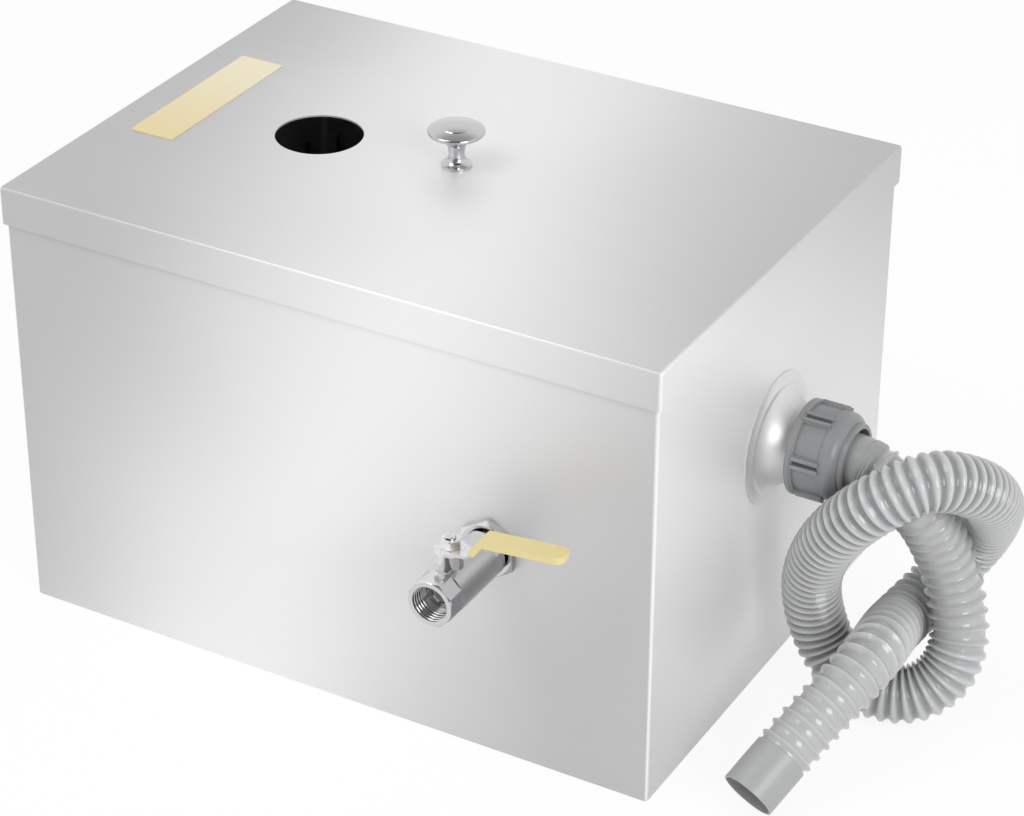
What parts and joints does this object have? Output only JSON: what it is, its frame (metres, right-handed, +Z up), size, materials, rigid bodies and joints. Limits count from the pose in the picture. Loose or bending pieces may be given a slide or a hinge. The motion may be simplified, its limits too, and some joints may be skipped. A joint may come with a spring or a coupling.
{
  "type": "grease trap",
  "caption": "Box-shaped stainless grease trap with a lift-off lid, a filter basket, baffles, a drain valve and a knotted outlet hose.",
  "frame": {"origin": "middle of the tank's base, on the surface it stands on", "axes": "+X towards the wall with the outlet hose, -Y towards the front wall with the drain valve, +Z up"},
  "size_m": [0.5351, 0.352, 0.2915],
  "materials": {
    "stainless": "pale satin stainless sheet",
    "basket_steel": "pale satin perforated sheet",
    "bright_metal": "bright plated metal",
    "screw_steel": "zinc-bright steel",
    "gold_plate": "pale gold satin plate",
    "nut_plastic": "mid grey moulded plastic",
    "hose_plastic": "light grey soft vinyl",
    "pipe_plastic": "off-white pipe plastic",
    "sleeve_vinyl": "yellow dipped vinyl",
    "seat_plastic": "white seat plastic",
    "seal_rubber": "black rubber"
  },
  "bodies": {
    "tank": {"tank_shell": "stainless", "basket_rail_front": "stainless", "basket_rail_back": "stainless", "inlet_baffle": "stainless", "outlet_baffle": "stainless", "inlet_guide_front": "stainless", "inlet_guide_back": "stainless", "outlet_guide_front": "stainless", "outlet_guide_back": "stainless", "outlet_flare": "stainless", "outlet_neck": "stainless", "filter_basket": "basket_steel", "basket_handle_left": "basket_steel", "basket_handle_right": "basket_steel", "valve_body": "bright_metal", "valve_insert": "bright_metal", "gland_ring": "bright_metal", "outer_locknut": "bright_metal", "inner_locknut": "bright_metal", "drain_nipple": "bright_metal", "hose_nut": "nut_plastic", "hose": "hose_plastic", "outlet_elbow": "pipe_plastic", "dip_tube": "pipe_plastic", "front_seat": "seat_plastic", "rear_seat": "seat_plastic", "stem_packing": "seat_plastic", "hose_seal": "seal_rubber", "inner_washer": "seal_rubber"},
    "lever": {"valve_ball": "bright_metal", "valve_stem": "bright_metal", "valve_lever": "bright_metal", "lever_sleeve": "sleeve_vinyl", "lever_nut": "bright_metal"},
    "lid": {"lid_pan": "stainless", "lid_gasket": "seal_rubber", "lid_knob": "bright_metal", "knob_washer": "screw_steel", "knob_screw": "screw_steel", "name_plate": "gold_plate"}
  },
  "joints": [
    {"name": "valve_lever_turn", "type": "hinge", "parent": "tank", "child": "lever", "pos_m": [0.104, -0.1845, 0.1535], "axis": [0, 0, 1], "range_deg": [-90, 0]},
    {"name": "lid_lift", "type": "slide", "parent": "tank", "child": "lid", "axis": [0, 0, 1], "range_m": [0, 0.15]}
  ]
}
